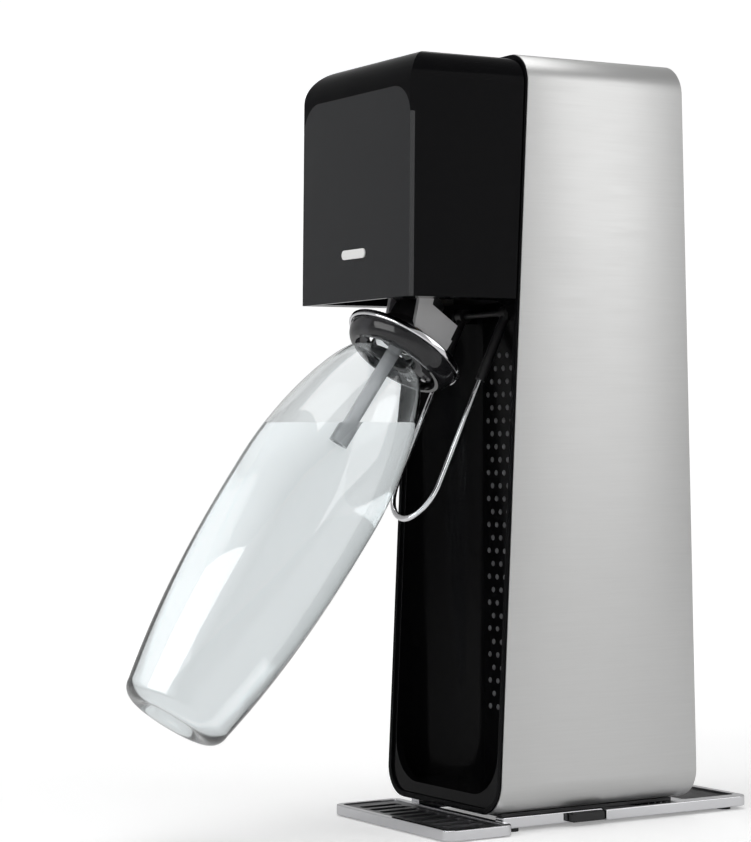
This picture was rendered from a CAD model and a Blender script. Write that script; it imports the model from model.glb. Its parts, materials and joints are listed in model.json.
"""Looks of a slim soda carbonator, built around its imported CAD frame."""

import json
import math

import bmesh
import bpy
from bpy.props import FloatProperty, FloatVectorProperty, PointerProperty
from mathutils import Matrix, Vector


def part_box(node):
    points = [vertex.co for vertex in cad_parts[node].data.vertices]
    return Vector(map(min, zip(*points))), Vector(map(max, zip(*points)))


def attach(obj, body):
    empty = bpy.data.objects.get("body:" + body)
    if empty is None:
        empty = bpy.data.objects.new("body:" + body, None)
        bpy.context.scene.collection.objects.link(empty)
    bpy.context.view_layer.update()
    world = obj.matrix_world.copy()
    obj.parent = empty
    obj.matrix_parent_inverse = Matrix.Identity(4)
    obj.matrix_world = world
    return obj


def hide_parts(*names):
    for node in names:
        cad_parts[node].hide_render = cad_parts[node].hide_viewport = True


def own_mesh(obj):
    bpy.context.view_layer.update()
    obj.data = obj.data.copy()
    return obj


bl_info = {
    "name": "Soda carbonator looks",
    "version": (1, 0, 0),
    "blender": (4, 5, 0),
    "location": "View3D > Sidebar > Carbonator",
    "description": "Finishes, bottle, water, springs and studio for a soda carbonator",
    "category": "Object",
}

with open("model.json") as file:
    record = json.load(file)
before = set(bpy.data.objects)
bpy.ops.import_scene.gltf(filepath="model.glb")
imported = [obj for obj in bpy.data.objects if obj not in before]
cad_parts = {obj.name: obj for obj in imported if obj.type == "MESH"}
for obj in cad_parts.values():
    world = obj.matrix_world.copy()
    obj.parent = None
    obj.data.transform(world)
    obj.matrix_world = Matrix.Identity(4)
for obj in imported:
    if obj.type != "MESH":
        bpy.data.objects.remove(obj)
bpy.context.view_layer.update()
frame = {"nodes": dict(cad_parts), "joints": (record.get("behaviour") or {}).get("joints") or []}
JOINTS = {j["name"]: j for j in frame["joints"]}


# --- Sizes and colours that a user would change ---------------------------------

def length(name, description, default, low=0.0, high=4.0):
    return FloatProperty(name=name, description=description, default=default, min=low,
                         max=high, subtype="DISTANCE", unit="LENGTH", precision=5)


def angle(name, description, degrees):
    return FloatProperty(name=name, description=description, default=math.radians(degrees),
                         subtype="ANGLE", unit="ROTATION", precision=5)


def colour(name, description, default):
    return FloatVectorProperty(name=name, description=description, default=default, size=4,
                               min=0.0, max=1.0, subtype="COLOR")


def amount(name, description, default, high=1.0):
    return FloatProperty(name=name, description=description, default=default, min=0.0,
                         max=high, subtype="FACTOR")


class CarbonatorStage(bpy.types.PropertyGroup):
    camera_place: FloatVectorProperty(name="Camera place", description="Where the camera stands",
                                      default=(1.1889, -0.8216, 0.2182), size=3,
                                      subtype="TRANSLATION", unit="LENGTH")
    camera_turn: angle("Camera turn", "Turn of the view away from straight at the front", 59.082)
    camera_pitch: angle("Camera pitch", "Upward tilt of the view", 0.363)
    camera_roll: angle("Camera roll", "Roll of the view", -0.437)
    lens: FloatProperty(name="Lens", description="Focal length for a 36 mm sensor", default=106.61)
    sweep_radius: length("Sweep radius", "Radius of the round backdrop", 3.2)
    sweep_height: length("Sweep height", "Height of the round backdrop", 2.6)
    floor_colour: colour("Floor colour", "Colour of the floor and backdrop", (0.86, 0.86, 0.86, 1))
    key_power: FloatProperty(name="Key light", description="Power of the key light", default=9.0)
    fill_power: FloatProperty(name="Fill light", description="Power of the fill light",
                              default=12.0)
    top_power: FloatProperty(name="Top light", description="Power of the top light", default=16.0)
    backdrop_glow: amount("Backdrop glow", "Extra brightness of the backdrop in view", 0.6, 9.0)
    floor_glow: amount("Floor glow", "Extra brightness of the floor in view", 0.28, 9.0)
    glass_glow: amount("Glass glow", "Extra brightness of the backdrop through glass", 0.33, 9.0)
    world_strength: amount("World strength", "Strength of the surrounding light", 0.35, 3.0)


class CarbonatorColours(bpy.types.PropertyGroup):
    band: colour("Band", "Satin metal band", (0.62, 0.62, 0.615, 1))
    gloss: colour("Gloss black", "Piano black mouldings", (0.004, 0.004, 0.0045, 1))
    matt: colour("Matt black", "Grained black mouldings", (0.012, 0.012, 0.013, 1))
    panel: colour("Panel", "Front panel", (0.012, 0.0125, 0.014, 1))
    badge: colour("Badge", "Plain bar on the panel", (0.85, 0.85, 0.84, 1))
    chrome: colour("Chrome", "Polished metal", (0.78, 0.78, 0.8, 1))
    steel: colour("Steel", "Ground steel", (0.5, 0.5, 0.51, 1))
    smoke: colour("Smoke", "Smoked plastic of the collar", (0.05, 0.05, 0.055, 1))
    silver: colour("Silver", "Lacquered bracket", (0.82, 0.82, 0.83, 1))
    tube: colour("Tube", "Carbonating tube", (0.74, 0.75, 0.77, 1))


class CarbonatorBody(bpy.types.PropertyGroup):
    band_wall: length("Band wall", "Thickness of the metal band", 0.0015)
    corner: length("Corner radius", "Outside radius of the band's corners", 0.018)
    front_setback: length("Front setback", "How far the band's front edge leans back", 0.023)
    rear_setback: length("Rear setback", "How far the band's rear edge leans forward", 0.007)


class CarbonatorBottle(bpy.types.PropertyGroup):
    axis_offset: length("Axis offset", "Bottle axis behind the holder's pivot", 0.0105)
    mouth_drop: length("Mouth drop", "Pivot down to the bottle's mouth", 0.0243)
    length: length("Length", "Mouth to foot", 0.255)
    neck: length("Neck radius", "Outside radius of the neck", 0.0138)
    wall: length("Wall", "Wall of the bottle", 0.0014)
    bead: length("Bead", "How far the neck's bead stands out", 0.0018)
    bead_drop: length("Bead drop", "Mouth down to the middle of the bead", 0.0055)
    neck_drop: length("Neck drop", "Mouth down to the shoulder", 0.0207)
    shoulder: length("Shoulder radius", "Radius where the shoulder begins", 0.020)
    belly: length("Belly radius", "Largest radius", 0.042)
    taper: length("Taper", "How much narrower the foot is than the belly", 0.0115)
    foot_round: length("Foot rounding", "Radius round the foot", 0.009)
    push_up: length("Push-up", "Height of the raised middle of the foot", 0.009)
    water_level: length("Water level", "Height of the water above the worktop", 0.226)
    water_overlap: length("Water overlap", "How far the water reaches into the wall", 0.0004)


class CarbonatorCollar(bpy.types.PropertyGroup):
    centre_offset: length("Centre offset", "Collar centre behind the holder's pivot", 0.015)
    radius: length("Radius", "Outside radius of the bright rim", 0.035)
    rim_drop: length("Rim drop", "Pivot down to the collar's top", 0.030)
    cup_drop: length("Cup drop", "Pivot down to the collar's foot", 0.042)
    foot_radius: length("Foot radius", "Radius of the collar's foot", 0.0275)
    neck_hole: length("Neck hole", "Radius of the hole for the bottle's neck", 0.0255)
    wall: length("Wall", "Wall of the collar", 0.0018)


class CarbonatorVents(bpy.types.PropertyGroup):
    stud: length("Stud radius", "Radius of one round stud on the pocket's back wall", 0.0019)
    stand: length("Stud height", "How far a stud stands off the wall", 0.0004)
    pitch: length("Pitch", "Distance between studs of one row", 0.008)
    row: length("Row pitch", "Height from one row to the next", 0.0075)
    lowest: length("Lowest row", "Height of the lowest row", 0.062)
    highest: length("Highest row", "Height of the highest row in the middle", 0.272)
    half: length("Half width", "Half the width of the field of studs", 0.0165)
    bulkhead_gap: length("Bulkhead gap", "Bulkhead forward to the wall's face", 0.003)
    droop: length("Droop", "How much lower the top row is at the sides", 0.02)


class CarbonatorWire(bpy.types.PropertyGroup):
    wire: length("Wire diameter", "Diameter of the chrome wire", 0.0032)
    half: length("Half width", "Half the distance between the arms", 0.0225)
    arm: length("Arm", "Straight length of the arms below their pivot", 0.105)
    top_drop: length("Top drop", "Pivot down to the wire's upper ends", 0.006)
    lean: angle("Lean", "Backward set of the wire", 2.5)
    rest_swing: angle("Rest swing", "Forward swing at rest", 28.0)


# --- Finishes --------------------------------------------------------------------

GROUPS = {}


def node_group(name, inputs, outputs):
    group = bpy.data.node_groups.new(name, "ShaderNodeTree")
    for label, kind, value in inputs:
        socket = group.interface.new_socket(label, in_out="INPUT", socket_type=kind)
        socket.default_value = value
    for label, kind in outputs:
        group.interface.new_socket(label, in_out="OUTPUT", socket_type=kind)
    start = group.nodes.new("NodeGroupInput")
    end = group.nodes.new("NodeGroupOutput")
    GROUPS[name] = group
    return group, start.outputs, end.inputs


def link(tree, source, target):
    tree.links.new(source, target)


def noise_node(tree, vector, scale, detail, source=None):
    node = tree.nodes.new("ShaderNodeTexNoise")
    node.inputs["Detail"].default_value = detail
    link(tree, vector, node.inputs["Vector"])
    if source is None:
        node.inputs["Scale"].default_value = scale
    else:
        link(tree, source, node.inputs["Scale"])
    return node.outputs["Fac"]


def map_range(tree, value, low, high):
    node = tree.nodes.new("ShaderNodeMapRange")
    link(tree, value, node.inputs["Value"])
    node.inputs["From Min"].default_value = 0.3
    node.inputs["From Max"].default_value = 0.7
    for source, label in ((low, "To Min"), (high, "To Max")):
        if hasattr(source, "links"):
            link(tree, source, node.inputs[label])
        else:
            node.inputs[label].default_value = source
    return node.outputs["Result"]


def build_moulded_group():
    """Colour drift, smudged gloss and a fine grain for mouldings and castings."""
    group, given, out = node_group("Moulded Surface", [
        ("Colour", "NodeSocketColor", (0.1, 0.1, 0.1, 1)),
        ("Drift", "NodeSocketFloat", 0.15),
        ("Smooth", "NodeSocketFloat", 0.1),
        ("Smudged", "NodeSocketFloat", 0.2),
        ("Grain Scale", "NodeSocketFloat", 2500.0)],
        [("Colour", "NodeSocketColor"), ("Roughness", "NodeSocketFloat"),
         ("Height", "NodeSocketFloat")])
    place = group.nodes.new("ShaderNodeTexCoord").outputs["Object"]
    broad = noise_node(group, place, 28.0, 4.0)
    smear = noise_node(group, place, 70.0, 6.0)
    grain = noise_node(group, place, 0.0, 3.0, given["Grain Scale"])
    shade = group.nodes.new("ShaderNodeMix")
    shade.data_type = "RGBA"
    shade.blend_type = "MULTIPLY"
    drift = group.nodes.new("ShaderNodeMath")
    drift.operation = "MULTIPLY"
    link(group, broad, drift.inputs[0])
    link(group, given["Drift"], drift.inputs[1])
    link(group, drift.outputs[0], shade.inputs["Factor"])
    link(group, given["Colour"], shade.inputs["A"])
    shade.inputs["B"].default_value = (0.35, 0.35, 0.36, 1)
    link(group, shade.outputs["Result"], out["Colour"])
    link(group, map_range(group, smear, given["Smooth"], given["Smudged"]), out["Roughness"])
    link(group, grain, out["Height"])


def build_brushed_group():
    """Long fine lines on sheet metal, with colour and gloss that follow them."""
    group, given, out = node_group("Brushed Lines", [
        ("Colour", "NodeSocketColor", (0.7, 0.7, 0.7, 1)),
        ("Stretch", "NodeSocketVector", (900.0, 30.0, 900.0)),
        ("Smooth", "NodeSocketFloat", 0.25),
        ("Rough", "NodeSocketFloat", 0.4),
        ("Contrast", "NodeSocketFloat", 0.12)],
        [("Colour", "NodeSocketColor"), ("Roughness", "NodeSocketFloat"),
         ("Height", "NodeSocketFloat")])
    place = group.nodes.new("ShaderNodeTexCoord").outputs["Object"]
    stretch = group.nodes.new("ShaderNodeVectorMath")
    stretch.operation = "MULTIPLY"
    link(group, place, stretch.inputs[0])
    link(group, given["Stretch"], stretch.inputs[1])
    lines = noise_node(group, stretch.outputs[0], 1.0, 4.0)
    cloud = noise_node(group, place, 9.0, 3.0)
    both = group.nodes.new("ShaderNodeMath")
    both.operation = "MULTIPLY"
    link(group, lines, both.inputs[0])
    link(group, given["Contrast"], both.inputs[1])
    shade = group.nodes.new("ShaderNodeMix")
    shade.data_type = "RGBA"
    shade.blend_type = "MULTIPLY"
    link(group, both.outputs[0], shade.inputs["Factor"])
    link(group, given["Colour"], shade.inputs["A"])
    shade.inputs["B"].default_value = (0.2, 0.2, 0.2, 1)
    link(group, shade.outputs["Result"], out["Colour"])
    mixed = group.nodes.new("ShaderNodeMath")
    mixed.operation = "MULTIPLY_ADD"
    mixed.inputs[1].default_value = 0.5
    link(group, cloud, mixed.inputs[0])
    half = group.nodes.new("ShaderNodeMath")
    half.operation = "MULTIPLY"
    half.inputs[1].default_value = 0.5
    link(group, lines, half.inputs[0])
    link(group, half.outputs[0], mixed.inputs[2])
    link(group, map_range(group, mixed.outputs[0], given["Smooth"], given["Rough"]),
         out["Roughness"])
    link(group, lines, out["Height"])


def finish(name, group, settings, bump=0.0, metallic=0.0, coat=0.0, specular=0.5,
           clear=0.0, index=1.5):
    """A shader with one of the groups feeding its colour, roughness and bump."""
    mat = bpy.data.materials.new(name)
    mat.use_nodes = True
    tree = mat.node_tree
    shader = tree.nodes["Principled BSDF"]
    surface = tree.nodes.new("ShaderNodeGroup")
    surface.node_tree = GROUPS[group]
    for label, value in settings.items():
        surface.inputs[label].default_value = value
    link(tree, surface.outputs["Colour"], shader.inputs["Base Color"])
    link(tree, surface.outputs["Roughness"], shader.inputs["Roughness"])
    shader.inputs["Metallic"].default_value = metallic
    shader.inputs["Coat Weight"].default_value = coat
    shader.inputs["Coat Roughness"].default_value = 0.04
    shader.inputs["Specular IOR Level"].default_value = specular
    shader.inputs["Transmission Weight"].default_value = clear
    shader.inputs["IOR"].default_value = index
    if bump > 0:
        bumps = tree.nodes.new("ShaderNodeBump")
        bumps.inputs["Strength"].default_value = bump
        bumps.inputs["Distance"].default_value = 0.0001
        link(tree, surface.outputs["Height"], bumps.inputs["Height"])
        link(tree, bumps.outputs["Normal"], shader.inputs["Normal"])
    return mat


def moulded(name, paint, smooth, smudged, drift=0.2, grain=2500.0, **rest):
    return finish(name, "Moulded Surface", {"Colour": paint, "Drift": drift, "Smooth": smooth,
                                            "Smudged": smudged, "Grain Scale": grain}, **rest)


def brushed(name, paint, stretch, smooth, rough, contrast=0.12, **rest):
    return finish(name, "Brushed Lines", {"Colour": paint, "Stretch": stretch, "Smooth": smooth,
                                          "Rough": rough, "Contrast": contrast},
                  metallic=1.0, **rest)


def unseen(name):
    """For the faces between two parts of one body of water."""
    mat = moulded(name, (1, 1, 1, 1), 0.0, 0.1)
    mat.node_tree.nodes["Principled BSDF"].inputs["Alpha"].default_value = 0.0
    return mat


def build_finishes(colours):
    """Every finish on the object, by its plain name."""
    across = (900.0, 25.0, 900.0)
    turned = (300.0, 300.0, 2600.0)
    return {
        "band": brushed("satin band", colours.band, across, 0.34, 0.46, 0.06, bump=0.05),
        "gloss": moulded("piano black", colours.gloss, 0.05, 0.09, specular=0.03),
        "pocket": moulded("pocket black", colours.gloss, 0.1, 0.18, specular=0.06),
        "vent": moulded("vent grey", (0.12, 0.12, 0.125, 1), 0.3, 0.4),
        "matt": moulded("grained black", colours.matt, 0.42, 0.55, bump=0.3),
        "panel": moulded("mirror charcoal", colours.panel, 0.03, 0.06, drift=0.1, specular=0.3),
        "badge": moulded("plain white bar", colours.badge, 0.3, 0.4, bump=0.05),
        "chrome": brushed("polished chrome", colours.chrome, turned, 0.04, 0.09, 0.05),
        "steel": brushed("ground steel", colours.steel, turned, 0.2, 0.36, bump=0.1),
        "cast": moulded("cast alloy", (0.4, 0.4, 0.41, 1), 0.35, 0.5, grain=1400.0, metallic=1.0,
                        bump=0.4),
        "frame": moulded("structural grey", (0.06, 0.06, 0.065, 1), 0.45, 0.6, bump=0.4),
        "rubber": moulded("soft rubber", (0.02, 0.02, 0.02, 1), 0.7, 0.85, bump=0.3),
        "brass": brushed("turned brass", (0.68, 0.45, 0.16, 1), turned, 0.2, 0.32, bump=0.1),
        "copper": brushed("drawn copper", (0.72, 0.34, 0.17, 1), turned, 0.22, 0.35, bump=0.05),
        "cylinder": moulded("cylinder lacquer", (0.3, 0.33, 0.37, 1), 0.25, 0.4, coat=0.3,
                            bump=0.1),
        "nylon": moulded("natural nylon", (0.7, 0.66, 0.55, 1), 0.35, 0.5, bump=0.15),
        "silver": moulded("silver lacquer", colours.silver, 0.3, 0.4, metallic=0.0, bump=0.1),
        "tube": moulded("grey tube", colours.tube, 0.15, 0.25),
        "smoke": moulded("smoked collar", colours.smoke, 0.05, 0.12, clear=0.75, index=1.49),
        "jaw": moulded("grey acetal", (0.08, 0.08, 0.085, 1), 0.35, 0.45, bump=0.1),
        "clear": moulded("clear bottle", (0.96, 0.98, 0.985, 1), 0.0, 0.02, drift=0.02,
                         clear=1.0, index=1.49),
        "water": moulded("water", (0.97, 0.985, 0.99, 1), 0.0, 0.004, drift=0.01, clear=1.0,
                         index=1.333),
        "seam": unseen("water seam"),
        "grille": brushed("satin grille", (0.2, 0.2, 0.21, 1), across, 0.3, 0.45),
    }


FINISH_OF = {
    "band": ["wrap_shell"],
    "gloss": ["front_trim", "press_housing"],
    "pocket": ["pocket_fascia", "cradle_lugs"],
    "panel": ["front_panel"],
    "badge": ["head_badge"],
    "matt": ["cradle_axle", "pedestal", "rear_inlay", "hinge_blocks", "cradle_sleeves",
             "rear_cover", "cover_button", "tray_pan", "nozzle_block", "holder_cap"],
    "chrome": ["base_frame", "tray_frame", "wire_cradle", "collar_rim"],
    "steel": ["chassis_screws", "lever_pin", "pivot_pin", "guide_rods", "housing_screws",
              "jaw_pins", "valve_plunger", "actuator_lever",
              "return_springs", "button_spring"],
    "cast": ["valve_block", "lever_bracket"],
    "frame": ["chassis_left", "chassis_right", "base_deck", "cylinder_clamp", "valve_deck",
              "front_bulkhead", "rod_shelf", "cover_catch", "pivot_yoke", "press_lug"],
    "rubber": ["rubber_feet", "nozzle_seal"],
    "brass": ["cylinder_valve", "relief_valve", "gas_union"],
    "copper": ["gas_pipe"],
    "cylinder": ["gas_cylinder"],
    "nylon": ["guide_bushes", "lever_roller"],
    "silver": ["holder_bracket"],
    "tube": ["carbonating_tube"],
    "smoke": ["snap_collar"],
    "jaw": ["jaw_left", "jaw_right"],
    "clear": ["bottle"],
    "grille": ["tray_grille"],
}
FINISHES = {}


class CARBONATOR_OT_finishes(bpy.types.Operator):
    """Give every CAD node its finish"""
    bl_idname = "carbonator.finishes"
    bl_label = "Finishes"

    def execute(self, context):
        FINISHES.update(build_finishes(context.scene.carbonator_colours))
        for finish_name, nodes in FINISH_OF.items():
            for node in nodes:
                mesh = frame["nodes"][node].data
                mesh.materials.clear()
                mesh.materials.append(FINISHES[finish_name])
        return {"FINISHED"}


# --- Shared modelling ------------------------------------------------------------

SHARP = math.radians(32)
WELD = 2e-6


def piece(name, bm, finish_name, body, nodes=(), smooth=True):
    """A mesh object from a bmesh, with its finish, the body it rides on and what it replaces."""
    mesh = bpy.data.meshes.new(name)
    bm.to_mesh(mesh)
    bm.free()
    mesh.materials.append(FINISHES[finish_name])
    if smooth:
        mesh.shade_smooth()
        mesh.set_sharp_from_angle(angle=SHARP)
    thing = bpy.data.objects.new(name, mesh)
    bpy.context.collection.objects.link(thing)
    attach(thing, body)
    if nodes:
        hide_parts(*nodes)
    return thing


def sharp_edges(bm, least=SHARP):
    return [e for e in bm.edges if e.is_manifold and e.calc_face_angle(0.0) > least]


def round_edges(bm, width, segments=2):
    bmesh.ops.bevel(bm, geom=sharp_edges(bm), offset=width, offset_type="OFFSET",
                    affect="EDGES", segments=segments, profile=0.5, material=-1,
                    clamp_overlap=True)


def softened(node, name, finish_name, body, width=0.0004, segments=2):
    """A copy of a CAD node with its edges rounded and its flat faces kept flat."""
    bm = bmesh.new()
    bm.from_mesh(frame["nodes"][node].data)
    bmesh.ops.remove_doubles(bm, verts=bm.verts, dist=WELD)
    thing = piece(name, bm, finish_name, body, nodes=[node])
    edges = thing.modifiers.new("rounded edges", "BEVEL")
    edges.limit_method = "ANGLE"
    edges.angle_limit = SHARP
    edges.width = width
    edges.segments = segments
    edges.use_clamp_overlap = True
    edges.miter_outer = "MITER_ARC"
    flats = thing.modifiers.new("flat faces", "WEIGHTED_NORMAL")
    flats.keep_sharp = True
    return thing


def spun(profile, steps=96, closed=True):
    """A turned shape about Z from (radius, height) points."""
    bm = bmesh.new()
    verts = [bm.verts.new((r, 0, z)) for r, z in profile]
    pairs = list(zip(verts, verts[1:]))
    if closed:
        pairs.append((verts[-1], verts[0]))
    edges = [bm.edges.new(pair) for pair in pairs]
    bmesh.ops.spin(bm, geom=verts + edges, cent=(0, 0, 0), axis=(0, 0, 1), angle=math.tau,
                   steps=steps, use_merge=True)
    bmesh.ops.remove_doubles(bm, verts=bm.verts, dist=1e-6)
    bmesh.ops.recalc_face_normals(bm, faces=bm.faces)
    return bm


def arc(cr, cz, radius, start, end, steps):
    """Points of an arc in the profile's plane, angles in degrees."""
    turns = [math.radians(start + (end - start) * i / steps) for i in range(steps + 1)]
    return [(cr + radius * math.cos(t), cz + radius * math.sin(t)) for t in turns]


HOLDER = JOINTS["holder_tilt"]
TILT = math.radians(HOLDER["range_deg"][1])
PIVOT = Vector(HOLDER["pos_m"])
HOLDER_AXES = Matrix.Translation(PIVOT) @ Matrix.Rotation(-TILT, 4, "X")


def in_holder(bm, offset_y, drop=0.0):
    """Moves a shape drawn about its own axis into the tilted holder."""
    place = HOLDER_AXES @ Matrix.Translation((0, offset_y, -drop))
    bmesh.ops.transform(bm, matrix=place, verts=bm.verts)


# --- Rounded casings -------------------------------------------------------------

CASINGS = [
    ("front_trim", "trim_ring", "gloss", "body", 0.0004),
    ("press_housing", "head_shell", "gloss", "press_head", 0.0006),
    ("front_panel", "mirror_panel", "panel", "press_head", 0.0005),
    ("head_badge", "plain_bar", "badge", "press_head", 0.0003),
    ("pocket_fascia", "pocket_shell", "pocket", "body", 0.0005),
    ("base_frame", "bright_base", "chrome", "body", 0.0005),
    ("tray_frame", "bright_tray_rim", "chrome", "drip_tray", 0.0005),
    ("tray_grille", "slotted_grille", "grille", "drip_tray", 0.0002),
    ("pedestal", "foot_block", "matt", "body", 0.0003),
    ("rear_inlay", "foot_inlay", "matt", "body", 0.0004),
    ("hinge_blocks", "side_blocks", "matt", "body", 0.0005),
    ("rear_cover", "back_shell", "matt", "back_cover", 0.0004),
    ("cover_button", "latch_button", "matt", "release_button", 0.0004),
    ("holder_bracket", "silver_cheeks", "silver", "holder", 0.0004),
    ("nozzle_block", "nozzle_body", "matt", "holder", 0.0004),
    ("pivot_yoke", "yoke_arms", "frame", "body", 0.0005),
]


SPRINGS = [
    ("return_springs", "head_springs", "head_press", "body"),
    ("button_spring", "latch_spring", "button_press", "back_cover"),
]


class CARBONATOR_OT_casings(bpy.types.Operator):
    """Casings and brackets with rounded edges"""
    bl_idname = "carbonator.casings"
    bl_label = "Casings"

    def execute(self, context):
        for node, name, finish_name, body, width in CASINGS:
            softened(node, name, finish_name, body, width)
        return {"FINISHED"}


class CARBONATOR_OT_springs(bpy.types.Operator):
    """Coil springs that shorten as their joints are pressed"""
    bl_idname = "carbonator.springs"
    bl_label = "Springs"

    def execute(self, context):
        for node, name, joint, body in SPRINGS:
            bm = bmesh.new()
            bm.from_mesh(frame["nodes"][node].data)
            bmesh.ops.remove_doubles(bm, verts=bm.verts, dist=WELD)
            thing = piece(name, bm, "steel", body, nodes=[node])
            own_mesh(thing)
        return {"FINISHED"}


class CARBONATOR_OT_band(bpy.types.Operator):
    """Bent metal band with smooth corners and rounded edges"""
    bl_idname = "carbonator.band"
    bl_label = "Metal band"

    def execute(self, context):
        sizes = context.scene.carbonator_body
        low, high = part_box("wrap_shell")
        half, top, foot = high[0], high[2], low[2]
        bm = bmesh.new()
        loop = rounded_loop(half, foot, top, sizes.corner)
        rim = [bm.verts.new((x, self.front(sizes, low, high, z), z)) for x, z in loop]
        edges = [bm.edges.new(pair) for pair in zip(rim, rim[1:] + rim[:1])]
        grown = bmesh.ops.extrude_edge_only(bm, edges=edges)["geom"]
        for vert in (v for v in grown if isinstance(v, bmesh.types.BMVert)):
            vert.co.y = self.rear(sizes, low, high, vert.co.z)
        bmesh.ops.recalc_face_normals(bm, faces=bm.faces)
        bmesh.ops.solidify(bm, geom=bm.faces[:], thickness=sizes.band_wall)
        bmesh.ops.recalc_face_normals(bm, faces=bm.faces)
        round_edges(bm, 0.0003)
        piece("satin_band", bm, "band", "body", nodes=["wrap_shell"])
        return {"FINISHED"}

    @staticmethod
    def front(sizes, low, high, z):
        return low[1] + sizes.front_setback * (z - low[2]) / (high[2] - low[2])

    @staticmethod
    def rear(sizes, low, high, z):
        return high[1] - sizes.rear_setback * (z - low[2]) / (high[2] - low[2])


def rounded_loop(half, foot, top, radius, steps=20):
    """Points of a rounded rectangle in X and Z."""
    loop = []
    corners = [(half - radius, top - radius, 0), (radius - half, top - radius, 90),
               (radius - half, foot + radius, 180), (half - radius, foot + radius, 270)]
    for x, z, start in corners:
        loop += arc(x, z, radius, start, start + 90, steps)
    return loop


# --- Bottle and water ------------------------------------------------------------

WIDEST = 0.4
NECK_FILLET = 0.003
SHELF_DROP = 0.0005


def bottle_radius(sizes, share):
    """Outside radius at a share of the way from shoulder to foot."""
    if share < WIDEST:
        rise = math.sin(math.pi / 2 * share / WIDEST) ** 0.65
        return sizes.shoulder + (sizes.belly - sizes.shoulder) * rise
    return sizes.belly - sizes.taper * ((share - WIDEST) / (1 - WIDEST)) ** 2.4


def bottle_side(sizes, inset, steps=64):
    """Side of the bottle from just under the neck to just above the foot."""
    span = sizes.length - sizes.neck_drop - sizes.foot_round
    return [(bottle_radius(sizes, i / steps) - inset, -sizes.neck_drop - span * i / steps)
            for i in range(steps + 1)]


def foot_curve(sizes, inset, steps=8):
    centre = bottle_radius(sizes, 1.0) - sizes.foot_round
    return arc(centre, sizes.foot_round - sizes.length, sizes.foot_round - inset, -10, -90, steps)


def push_up(sizes, inset, steps=8):
    """Raised middle of the foot, from its ring to the axis."""
    ring = bottle_radius(sizes, 1.0) - sizes.foot_round
    return [(ring * (1 - i / steps), inset - sizes.length
             + sizes.push_up * math.sin(math.pi / 2 * i / steps) ** 2)
            for i in range(1, steps + 1)]


class CARBONATOR_OT_bottle(bpy.types.Operator):
    """Clear bottle with a rolled lip, a bead and a pushed-up foot"""
    bl_idname = "carbonator.bottle"
    bl_label = "Bottle"

    def execute(self, context):
        sizes = context.scene.carbonator_bottle
        neck, wall = sizes.neck, sizes.wall
        lip = arc(neck - wall / 2, -wall / 2, wall / 2, 180, 0, 8)
        bead = arc(neck, -sizes.bead_drop, sizes.bead, 90, -90, 10)
        outer = lip + bead
        outer += [(neck, NECK_FILLET - sizes.neck_drop)]
        outer += bottle_side(sizes, 0.0) + foot_curve(sizes, 0.0) + push_up(sizes, 0.0)
        inner = bottle_side(sizes, wall) + foot_curve(sizes, wall) + push_up(sizes, wall)
        profile = outer + inner[::-1] + [(neck - wall, NECK_FILLET - sizes.neck_drop)]
        bm = spun(profile, steps=128)
        in_holder(bm, sizes.axis_offset, sizes.mouth_drop)
        piece("clear_bottle", bm, "clear", "water_bottle", nodes=["bottle"])
        self.water(sizes)
        return {"FINISHED"}

    def water(self, sizes):
        """Water, level in the tilted bottle: a body and the wedge that flattens upright."""
        wall = sizes.wall - sizes.water_overlap
        inside = bottle_side(sizes, wall) + foot_curve(sizes, wall) + push_up(sizes, wall)
        profile = [(0.0, -sizes.neck_drop)] + inside
        level = Vector((0, 0, sizes.water_level))
        bm = spun(profile, steps=128, closed=False)
        in_holder(bm, sizes.axis_offset, sizes.mouth_drop)
        cut_off(bm, level, Vector((0, 0, 1)))
        along = Vector((0, math.sin(TILT), math.cos(TILT)))
        lowest = min((v.co.dot(along) for v in bm.verts if v.co.z > sizes.water_level - 1e-6))
        shelf = along * (lowest - SHELF_DROP)
        wedge = bm.copy()
        cut_off(bm, shelf, along)
        piece("water", bm, "water", "water_bottle")
        cut_off(wedge, shelf, -along)
        surface = piece("water_wedge", wedge, "water", "water_bottle")
        for part in (bpy.data.objects["water"], surface):
            part.data.materials.append(FINISHES["seam"])
            for face in part.data.polygons:
                if abs((Vector(face.center) - shelf).dot(along)) < 1e-6:
                    face.material_index = 1
        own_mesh(surface)


def cut_off(bm, point, normal):
    """Removes what lies beyond a plane and closes the cut."""
    cut = bmesh.ops.bisect_plane(bm, geom=bm.verts[:] + bm.edges[:] + bm.faces[:], dist=1e-7,
                                 plane_co=point, plane_no=normal, clear_outer=True)
    rim = [e for e in cut["geom_cut"] if isinstance(e, bmesh.types.BMEdge)]
    bmesh.ops.contextual_create(bm, geom=rim)
    bmesh.ops.recalc_face_normals(bm, faces=bm.faces)


# --- Collar and wire -------------------------------------------------------------

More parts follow.
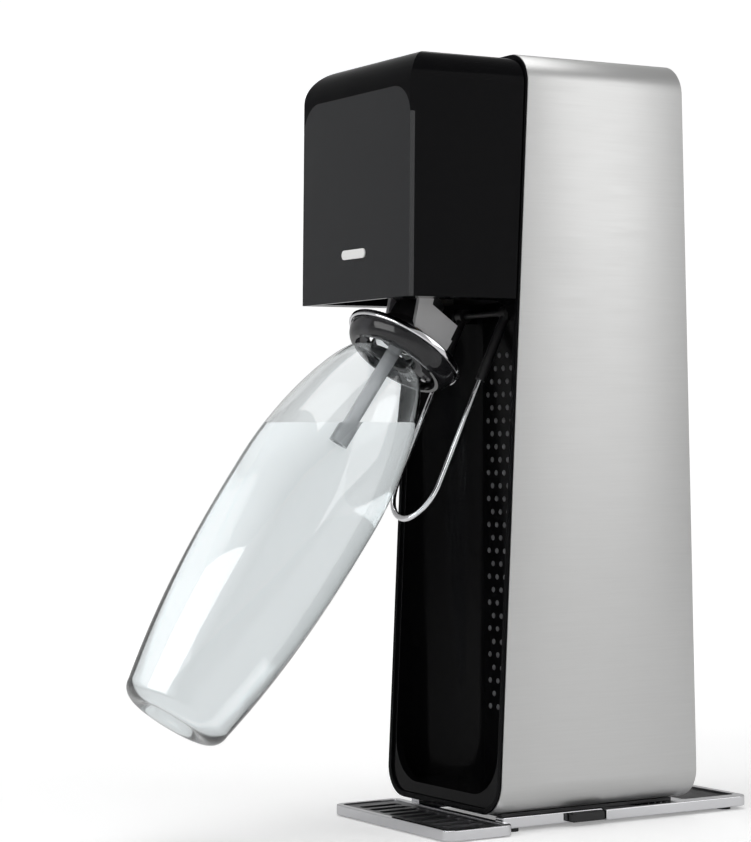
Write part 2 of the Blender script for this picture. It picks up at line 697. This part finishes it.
class CARBONATOR_OT_collar(bpy.types.Operator):
    """Smoked bowl of the snap-lock with its bright rim"""
    bl_idname = "carbonator.collar"
    bl_label = "Collar"

    def execute(self, context):
        sizes = context.scene.carbonator_collar
        top, foot, wall = -sizes.rim_drop, -sizes.cup_drop, sizes.wall
        outer = [(sizes.radius - 0.0021, top - 0.0001)]
        outer += arc(sizes.radius - 0.0121, top - 0.0031, 0.01, 0, -62, 10)
        outer += [(sizes.foot_radius, foot)]
        inner = [(sizes.foot_radius - 0.0005, foot + wall)]
        inner += arc(sizes.radius - 0.0141, top - 0.0031, 0.01, -62, 0, 10)
        inner += [(sizes.radius - 0.0045, top - 0.0001)]
        hole = sizes.neck_hole
        bm = spun(outer + [(hole, foot)] + [(hole, foot + wall)] + inner)
        in_holder(bm, sizes.centre_offset)
        piece("smoked_bowl", bm, "smoke", "holder", nodes=["snap_collar"])
        radius, wide, high = sizes.radius, 0.0019, 0.0036
        low = top - 0.003
        ring = arc(radius - wide / 2, low + high - wide / 2, wide / 2, 180, 0, 8)
        ring += arc(radius - wide / 2, low + wide / 2, wide / 2, 0, -180, 8)
        bm = spun(ring, steps=128)
        in_holder(bm, sizes.centre_offset)
        piece("bright_rim", bm, "chrome", "holder", nodes=["collar_rim"])
        return {"FINISHED"}


class CARBONATOR_OT_wire(bpy.types.Operator):
    """Chrome wire bent into one long U"""
    bl_idname = "carbonator.wire"
    bl_label = "Wire cradle"

    def execute(self, context):
        sizes = context.scene.carbonator_wire
        swing = JOINTS["cradle_swing"]
        bm = bmesh.new()
        ring = bmesh.ops.create_circle(bm, segments=20, radius=sizes.wire / 2)["verts"]
        bmesh.ops.translate(bm, verts=ring, vec=(sizes.half, 0, -sizes.top_drop))
        edges = list({e for v in ring for e in v.link_edges})
        grown = bmesh.ops.extrude_edge_only(bm, edges=edges)["geom"]
        ends = [v for v in grown if isinstance(v, bmesh.types.BMVert)]
        bmesh.ops.translate(bm, verts=ends, vec=(0, 0, sizes.top_drop - sizes.arm))
        loop = [e for e in grown if isinstance(e, bmesh.types.BMEdge)]
        swept = bmesh.ops.spin(bm, geom=loop + ends, cent=(0, 0, -sizes.arm), axis=(0, 1, 0),
                               angle=math.pi, steps=40)["geom_last"]
        edges = [e for e in swept if isinstance(e, bmesh.types.BMEdge)]
        grown = bmesh.ops.extrude_edge_only(bm, edges=edges)["geom"]
        ends = [v for v in grown if isinstance(v, bmesh.types.BMVert)]
        bmesh.ops.translate(bm, verts=ends, vec=(0, 0, sizes.arm - sizes.top_drop))
        bmesh.ops.remove_doubles(bm, verts=bm.verts, dist=1e-6)
        bmesh.ops.holes_fill(bm, edges=[e for e in bm.edges if e.is_boundary])
        bmesh.ops.recalc_face_normals(bm, faces=bm.faces)
        turn = Matrix.Rotation(sizes.lean - sizes.rest_swing, 4, "X")
        bmesh.ops.transform(bm, matrix=Matrix.Translation(swing["pos_m"]) @ turn, verts=bm.verts)
        piece("chrome_wire", bm, "chrome", "cradle", nodes=["wire_cradle"])
        return {"FINISHED"}


STUD_TAPER = 0.7


class CARBONATOR_OT_vents(bpy.types.Operator):
    """Field of small round studs on the pocket's back wall"""
    bl_idname = "carbonator.vents"
    bl_label = "Pocket studs"

    def execute(self, context):
        sizes = context.scene.carbonator_vents
        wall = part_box("front_bulkhead")[0].y - sizes.bulkhead_gap
        bm = bmesh.new()
        level, odd = sizes.lowest, False
        while level < sizes.highest:
            across = -sizes.half + (sizes.pitch / 2 if odd else 0.0)
            while across <= sizes.half:
                if level <= sizes.highest - sizes.droop * (across / sizes.half) ** 2:
                    self.stud(bm, sizes, Vector((across, wall, level)))
                across += sizes.pitch
            level, odd = level + sizes.row, not odd
        piece("pocket_studs", bm, "vent", "body")
        return {"FINISHED"}

    @staticmethod
    def stud(bm, sizes, place):
        turn = Matrix.Translation(place) @ Matrix.Rotation(math.pi / 2, 4, "X")
        made = bmesh.ops.create_cone(bm, cap_ends=True, segments=14, radius1=sizes.stud,
                                     radius2=sizes.stud * STUD_TAPER, depth=2 * sizes.stand)
        bmesh.ops.transform(bm, matrix=turn, verts=made["verts"])


# --- Studio ----------------------------------------------------------------------

SWEEP_BEND = 0.9
GLOW_REACH = (0.35, 1.2)

def area_light(name, place, target, size, power):
    data = bpy.data.lights.new(name, "AREA")
    data.shape = "RECTANGLE"
    data.size, data.size_y = size
    data.energy = power
    lamp = bpy.data.objects.new(name, data)
    lamp.location = place
    lamp.rotation_euler = (Vector(target) - Vector(place)).to_track_quat("-Z", "Y").to_euler()
    bpy.context.collection.objects.link(lamp)


class CARBONATOR_OT_stage(bpy.types.Operator):
    """Camera, plain pale sweep and soft lights"""
    bl_idname = "carbonator.stage"
    bl_label = "Stage"

    def execute(self, context):
        stage = context.scene.carbonator_stage
        build_moulded_group()
        build_brushed_group()
        self.camera(context, stage)
        self.sweep(stage)
        middle = (0.0, -0.05, 0.22)
        area_light("key", (1.7, 1.1, 0.95), middle, (1.5, 1.5), stage.key_power)
        area_light("front fill", (0.2, -1.7, 0.9), middle, (1.4, 1.0), stage.fill_power)
        area_light("top", (0.0, -0.1, 1.9), middle, (1.6, 1.6), stage.top_power)
        world = bpy.data.worlds.new("studio")
        world.use_nodes = True
        back = world.node_tree.nodes["Background"]
        back.inputs["Color"].default_value = (1, 1, 1, 1)
        back.inputs["Strength"].default_value = stage.world_strength
        context.scene.world = world
        context.scene.view_settings.view_transform = "Standard"
        return {"FINISHED"}

    def camera(self, context, stage):
        turn, pitch, roll = stage.camera_turn, stage.camera_pitch, stage.camera_roll
        ahead = Vector((-math.sin(turn) * math.cos(pitch), math.cos(turn) * math.cos(pitch),
                        math.sin(pitch)))
        right = Vector((math.cos(turn), math.sin(turn), 0))
        up = right.cross(ahead)
        right, up = (right * math.cos(roll) + up * math.sin(roll),
                     up * math.cos(roll) - right * math.sin(roll))
        data = bpy.data.cameras.new("camera")
        data.lens = stage.lens
        camera = bpy.data.objects.new("camera", data)
        axes = Matrix((right, up, -ahead)).transposed().to_4x4()
        camera.matrix_world = Matrix.Translation(Vector(stage.camera_place)) @ axes
        context.collection.objects.link(camera)
        context.scene.camera = camera

    def sweep(self, stage):
        bm = bmesh.new()
        bend = SWEEP_BEND
        flat = stage.sweep_radius - bend
        profile = [Vector((0, 0, 0)), Vector((flat, 0, 0))]
        steps = 12
        for i in range(1, steps + 1):
            turn = math.pi / 2 * i / steps
            profile.append(Vector((flat + bend * math.sin(turn), 0, bend - bend * math.cos(turn))))
        profile.append(Vector((stage.sweep_radius, 0, stage.sweep_height)))
        verts = [bm.verts.new(p) for p in profile]
        edges = [bm.edges.new(pair) for pair in zip(verts, verts[1:])]
        bmesh.ops.spin(bm, geom=verts + edges, cent=(0, 0, 0), axis=(0, 0, 1),
                       angle=math.tau, steps=96, use_merge=True)
        bmesh.ops.remove_doubles(bm, verts=bm.verts, dist=1e-5)
        bmesh.ops.recalc_face_normals(bm, faces=bm.faces)
        mesh = bpy.data.meshes.new("sweep")
        bm.to_mesh(mesh)
        bm.free()
        mesh.shade_smooth()
        mesh.materials.append(self.pale(stage))
        sweep = bpy.data.objects.new("sweep", mesh)
        bpy.context.collection.objects.link(sweep)

    def pale(self, stage):
        """Pale floor that the camera sees a little brighter than it lights the object."""
        mat = moulded("pale sweep", stage.floor_colour, 0.7, 0.8, drift=0.02)
        tree = mat.node_tree
        path = tree.nodes.new("ShaderNodeLightPath")
        glow = tree.nodes.new("ShaderNodeEmission")
        lit = tree.nodes.new("ShaderNodeMath")
        lit.operation = "MULTIPLY_ADD"
        place = tree.nodes.new("ShaderNodeTexCoord")
        away = tree.nodes.new("ShaderNodeVectorMath")
        away.operation = "LENGTH"
        rise = tree.nodes.new("ShaderNodeMapRange")
        rise.inputs["From Min"].default_value, rise.inputs["From Max"].default_value = GLOW_REACH
        rise.inputs["To Min"].default_value = stage.floor_glow
        rise.inputs["To Max"].default_value = stage.backdrop_glow
        link(tree, place.outputs["Object"], away.inputs[0])
        link(tree, away.outputs["Value"], rise.inputs["Value"])
        link(tree, rise.outputs["Result"], lit.inputs[1])
        both = tree.nodes.new("ShaderNodeAddShader")
        through = tree.nodes.new("ShaderNodeMath")
        through.operation = "MULTIPLY"
        through.inputs[1].default_value = stage.glass_glow
        link(tree, path.outputs["Is Transmission Ray"], through.inputs[0])
        link(tree, path.outputs["Is Camera Ray"], lit.inputs[0])
        link(tree, through.outputs[0], lit.inputs[2])
        link(tree, lit.outputs[0], glow.inputs["Strength"])
        link(tree, tree.nodes["Principled BSDF"].outputs[0], both.inputs[0])
        link(tree, glow.outputs[0], both.inputs[1])
        link(tree, both.outputs[0], tree.nodes["Material Output"].inputs["Surface"])
        return mat


class CARBONATOR_PT_panel(bpy.types.Panel):
    bl_label = "Carbonator"
    bl_idname = "CARBONATOR_PT_panel"
    bl_space_type = "VIEW_3D"
    bl_region_type = "UI"
    bl_category = "Carbonator"

    def draw(self, context):
        for setting in SETTINGS:
            group = getattr(context.scene, setting)
            for name in group.bl_rna.properties.keys():
                if name not in ("name", "rna_type"):
                    self.layout.prop(group, name)
        for operator in OPERATORS:
            self.layout.operator(operator.bl_idname)


OPERATORS = [CARBONATOR_OT_stage, CARBONATOR_OT_finishes, CARBONATOR_OT_casings,
             CARBONATOR_OT_springs, CARBONATOR_OT_band, CARBONATOR_OT_bottle, CARBONATOR_OT_collar,
             CARBONATOR_OT_wire, CARBONATOR_OT_vents]
SETTINGS = {"carbonator_stage": CarbonatorStage, "carbonator_colours": CarbonatorColours,
            "carbonator_body": CarbonatorBody, "carbonator_bottle": CarbonatorBottle,
            "carbonator_collar": CarbonatorCollar, "carbonator_wire": CarbonatorWire,
            "carbonator_vents": CarbonatorVents}
CLASSES = [*SETTINGS.values(), *OPERATORS, CARBONATOR_PT_panel]


def register():
    for cls in CLASSES:
        bpy.utils.register_class(cls)
    for setting, cls in SETTINGS.items():
        setattr(bpy.types.Scene, setting, PointerProperty(type=cls))


def unregister():
    for setting in SETTINGS:
        delattr(bpy.types.Scene, setting)
    for cls in reversed(CLASSES):
        bpy.utils.unregister_class(cls)


def main():
    register()
    bpy.ops.carbonator.stage()
    bpy.ops.carbonator.finishes()
    bpy.ops.carbonator.casings()
    bpy.ops.carbonator.springs()
    bpy.ops.carbonator.band()
    bpy.ops.carbonator.bottle()
    bpy.ops.carbonator.collar()
    bpy.ops.carbonator.wire()
    bpy.ops.carbonator.vents()


if __name__ == "__main__":
    main()
